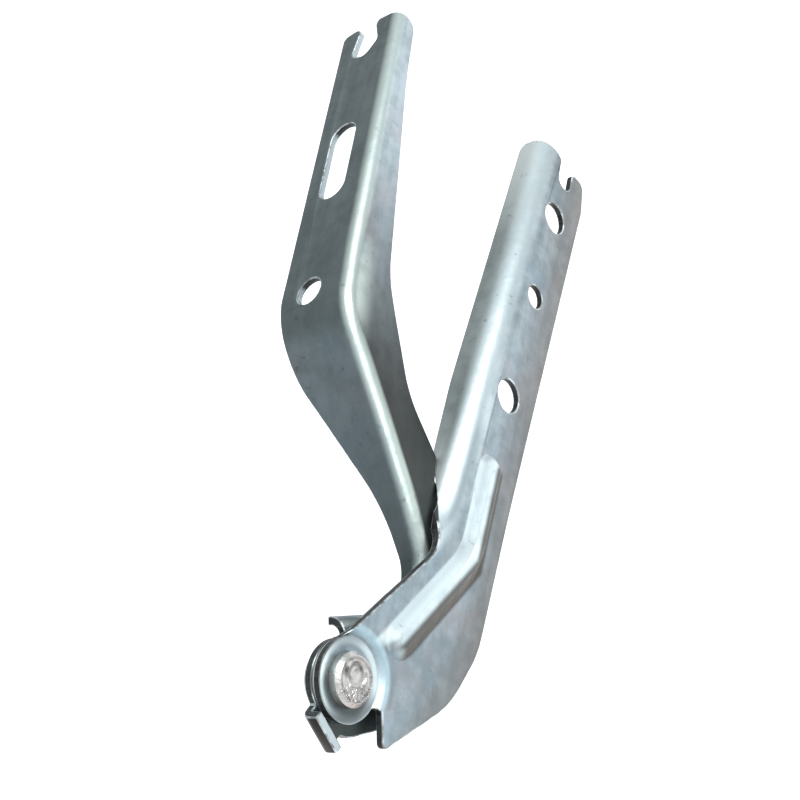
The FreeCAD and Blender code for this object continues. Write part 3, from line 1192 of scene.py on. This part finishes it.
@dataclass
class PivotRivet:
    """The shouldered rivet with a head that the riveting tool has spun over."""

    head_r: float = 6.7 * MM
    head_h: float = 2.9 * MM
    head_bevel: float = 1.0 * MM
    neck_r: float = 4.0 * MM
    neck_start: float = -0.2 * MM
    shoulder_r: float = 5.0 * MM
    tail_r: float = 8.0 * MM
    seat: float = 2.3 * MM
    tail_face: float = 5.0 * MM
    tail_h: float = 2.6 * MM
    tail_bevel: float = 0.9 * MM
    sides: int = 96
    cap_sides: int = 20
    seed: int = 7

    # How far each ring of the head's face is set in and then moved, in millimetres
    face_rings: tuple[tuple[float, Vector], ...] = (
        (0.35, Vector((0.0, 0.22, 0.0))),
        (1.1, Vector((0.0, 0.0, 0.0))),
        (0.9, Vector((1.15, -0.05, -0.1))),
        (0.45, Vector((0.0, 0.62, 0.0))),
        (0.8, Vector((0.0, 0.10, 0.0))),
        (0.8, Vector((0.0, 0.0, 0.0))),
    )
    face_depth: float = 0.8 * MM
    worked_depth: float = 0.75 * MM
    rim_width: float = 0.8 * MM
    nick_reach: float = 1.0 * MM
    nick_depth: float = 0.35 * MM

    def _turned(self, radius: float, low: float, high: float) -> bpy.types.Object:
        """Model one step of the rivet as a cylinder on its axis.

        Args:
            radius: The step's radius.
            low: Where it begins along Y from the pivot.
            high: Where it ends.

        Returns:
            The step, in the hinge's frame.
        """
        clear_selection()
        bpy.ops.mesh.primitive_cylinder_add(
            vertices=self.sides,
            radius=radius,
            depth=high - low,
            location=PIVOT + Vector((0.0, (low + high) / 2, 0.0)),
            rotation=(math.radians(90), 0.0, 0.0),
        )
        bpy.ops.object.transform_apply(location=True, rotation=True, scale=True)
        return bpy.context.object

    def _is_cap(self, face: bmesh.types.BMFace, side: int) -> bool:
        """Tell whether a face is the flat end of a step.

        Args:
            face: The face.
            side: 1 for the far end, -1 for the near one.

        Returns:
            Whether it is the cap.
        """
        return face.normal.y * side > 0.99 and len(face.verts) > self.cap_sides

    def _head(self) -> bpy.types.Object:
        """Model the spun head.

        Returns:
            The head, in the hinge's frame.
        """
        piece = self._turned(self.head_r, -self.head_h, 0.0)
        piece.name = "rivet_head"
        bpy.ops.object.mode_set(mode="EDIT")
        select_faces(piece, lambda face: face.normal.y < -0.9)
        bpy.ops.mesh.bevel(offset=self.head_bevel, segments=1, affect="EDGES")
        select_faces(piece, lambda face: self._is_cap(face, -1))
        for inset, move in self.face_rings:
            bpy.ops.mesh.inset(thickness=inset * MM)
            bpy.ops.transform.translate(value=move * MM)
        bpy.ops.mesh.poke()
        front = PIVOT.y - self.head_h
        select_faces(piece, lambda face: face.calc_center_median().y < front + self.face_depth)
        bpy.ops.mesh.subdivide(number_cuts=2, smoothness=0.0)
        self._work_face(piece, front)
        bpy.ops.object.mode_set(mode="OBJECT")
        settle(piece, 36.0)
        return piece

    def _work_face(self, piece: bpy.types.Object, front: float) -> None:
        """Break up the worked face: sparkling facets low on it and a nick beside the dimple.

        Args:
            piece: The head in edit mode.
            front: The level of the foremost face along Y.
        """
        dice = random.Random(self.seed)
        mesh = bmesh.from_edit_mesh(piece.data)
        for vert in mesh.verts:
            if vert.co.y > front + self.worked_depth:
                continue
            x = vert.co.x - PIVOT.x
            z = vert.co.z - PIVOT.z
            if math.hypot(x, z) > self.head_r - self.rim_width:
                continue
            low = max(0.0, min(1.0, (-x * 0.86 - z * 0.3) / (3.2 * MM)))
            vert.co.y += dice.uniform(-1.0, 1.0) * (0.02 + 0.20 * low) * MM
            nick = math.hypot(x - NICK.x, z - NICK.z)
            if nick < self.nick_reach:
                vert.co.y += self.nick_depth * (1.0 - nick / self.nick_reach)
        bmesh.update_edit_mesh(piece.data)

    def _shank(self) -> bpy.types.Object:
        """Model the neck, shoulder and tail head as one turned piece.

        Returns:
            The shank, in the hinge's frame.
        """
        neck = self._turned(self.neck_r, self.neck_start, self.seat)
        shoulder = self._turned(self.shoulder_r, self.seat, self.tail_face)
        tail = self._turned(self.tail_r, self.tail_face, self.tail_face + self.tail_h)
        take(tail)
        bpy.ops.object.mode_set(mode="EDIT")
        select_faces(tail, lambda face: face.normal.y > 0.9)
        bpy.ops.mesh.bevel(offset=self.tail_bevel, segments=4, profile=0.5, affect="EDGES")
        select_faces(tail, lambda face: self._is_cap(face, 1))
        bpy.ops.mesh.inset(thickness=2.2 * MM)
        bpy.ops.mesh.inset(thickness=0.5 * MM)
        bpy.ops.transform.translate(value=(0.0, -0.25 * MM, 0.0))
        take(neck)
        shoulder.select_set(True)
        tail.select_set(True)
        bpy.ops.object.join()
        neck.name = "rivet_shank"
        settle(neck, 35.0)
        return neck

    def make(self) -> list[bpy.types.Object]:
        """Build, dress and place both ends of the rivet.

        Returns:
            The pieces.
        """
        steel = Finish.RIVET.value.make()
        pieces = [self._head(), self._shank()]
        for piece in pieces:
            piece.data.materials.clear()
            piece.data.materials.append(steel)
            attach(piece, "bracket")
        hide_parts("pivot_rivet")
        return pieces


@dataclass
class SpacerWasher:
    """The thin washer between the pressings, kept as the CAD solid."""

    node: str = "spacer_washer"

    def make(self) -> list[bpy.types.Object]:
        """Dress the washer.

        Returns:
            The piece in a list.
        """
        piece = frame["nodes"][self.node]
        steel = Finish.WASHER.value.make()
        if piece.material_slots:
            piece.material_slots[0].material = steel
        else:
            piece.data.materials.append(steel)
        return [piece]


# Camera, floor and light


@dataclass(frozen=True)
class Lamp:
    """A soft square lamp: its direction from the hinge, distance and side in metres, and watts."""

    name: str
    toward: tuple[float, float, float]
    distance: float
    size: float
    power: float


@dataclass
class Studio:
    """The photograph's viewpoint, a pale floor and soft light."""

    eye: Vector = field(default_factory=lambda: Vector((-0.1707, -0.1943, 0.2360)))
    ahead: Vector = field(default_factory=lambda: Vector((0.4676, 0.6294, -0.6206)))
    top: Vector = field(default_factory=lambda: Vector((0.860, -0.164, 0.482)))
    aim: Vector = field(default_factory=lambda: Vector((0.0, 0.02, 0.03)))
    lens: float = 52.14
    sensor: float = 36.0
    nearest: float = 0.01
    floor_z: float = -0.16
    floor_size: float = 9.0
    floor_grey: Colour = tone(0.82, 0.82, 0.82)
    floor_glow: float = 0.78
    sky: Colour = tone(0.92, 0.96, 1.0)
    sky_strength: float = 0.64
    lamps: tuple[Lamp, ...] = (
        Lamp("key", (0.45, -0.60, 0.70), distance=1.2, size=0.6, power=9.0),
        Lamp("front", (-0.11, -0.81, 0.58), distance=1.2, size=0.5, power=2.6),
        Lamp("side", (-0.85, -0.45, 0.45), distance=1.3, size=0.8, power=3.0),
    )

    def camera(self) -> None:
        """Place the camera as fitted to the photograph."""
        data = bpy.data.cameras.new("camera")
        data.lens = self.lens
        data.sensor_width = self.sensor
        data.clip_start = self.nearest
        back = -self.ahead.normalized()
        right = self.top.cross(back).normalized()
        up = back.cross(right)
        turn = Matrix((right, up, back)).transposed().to_4x4()
        camera = bpy.data.objects.new("camera", data)
        camera.matrix_world = Matrix.Translation(self.eye) @ turn
        bpy.context.scene.collection.objects.link(camera)
        bpy.context.scene.camera = camera

    def floor(self) -> None:
        """Lay the pale floor, white to the camera and in reflections, with the shadow kept."""
        clear_selection()
        place = (0.0, 0.0, self.floor_z)
        bpy.ops.mesh.primitive_plane_add(size=self.floor_size, location=place)
        plane = bpy.context.object
        plane.name = "floor"
        book = NodeBook("pale_floor")
        rays = book.node("ShaderNodeLightPath", {}, {})
        kinds = ("Is Camera Ray", "Is Glossy Ray", "Is Transmission Ray")
        shown = reduce(Signal.most, [Signal(book, rays.outputs[kind]) for kind in kinds])
        matt = book.node("ShaderNodeBsdfDiffuse", {}, {"Color": self.floor_grey})
        light = {"Color": tone(1.0, 1.0, 1.0), "Strength": shown * self.floor_glow}
        glow = book.node("ShaderNodeEmission", {}, light)
        both = book.node("ShaderNodeAddShader", {}, {0: matt.outputs[0], 1: glow.outputs[0]})
        book.node("ShaderNodeOutputMaterial", {}, {"Surface": both.outputs[0]})
        plane.data.materials.append(book.material)

    def hang(self, lamp: Lamp) -> None:
        """Hang one soft lamp, aimed at the hinge.

        Args:
            lamp: The lamp.
        """
        data = bpy.data.lights.new(lamp.name, "AREA")
        data.shape = "SQUARE"
        data.size = lamp.size
        data.energy = lamp.power
        toward = Vector(lamp.toward)
        holder = bpy.data.objects.new(lamp.name, data)
        holder.location = self.aim + toward.normalized() * lamp.distance
        holder.rotation_euler = toward.to_track_quat("Z", "Y").to_euler()
        bpy.context.scene.collection.objects.link(holder)

    def light(self) -> None:
        """Set the lamps, the world and the view."""
        for lamp in self.lamps:
            self.hang(lamp)
        world = bpy.data.worlds.new("studio")
        world.use_nodes = True
        shade = world.node_tree.nodes["Background"]
        shade.inputs["Color"].default_value = self.sky
        shade.inputs["Strength"].default_value = self.sky_strength
        bpy.context.scene.world = world
        bpy.context.scene.view_settings.view_transform = "Standard"

    def make(self) -> None:
        """Set up everything round the hinge."""
        self.camera()
        self.floor()
        self.light()


def main() -> None:
    """Build the studio and the hinge, and report each piece."""
    logging.basicConfig(level=logging.INFO)
    Studio().make()
    assemblies = [
        BracketPressing(
            "bracket_pressing", "body_bracket", "bracket", "bracket_zinc", Finish.BRACKET
        ),
        ArmPressing("arm_pressing", "bonnet_arm", "arm", "arm_zinc", Finish.ARM),
        PivotRivet(),
        SpacerWasher(),
    ]
    for assembly in assemblies:
        for piece in assembly.make():
            LOG.info("%s: %d faces", piece.name, len(piece.data.polygons))
    clear_selection()


if __name__ == "__main__":
    main()
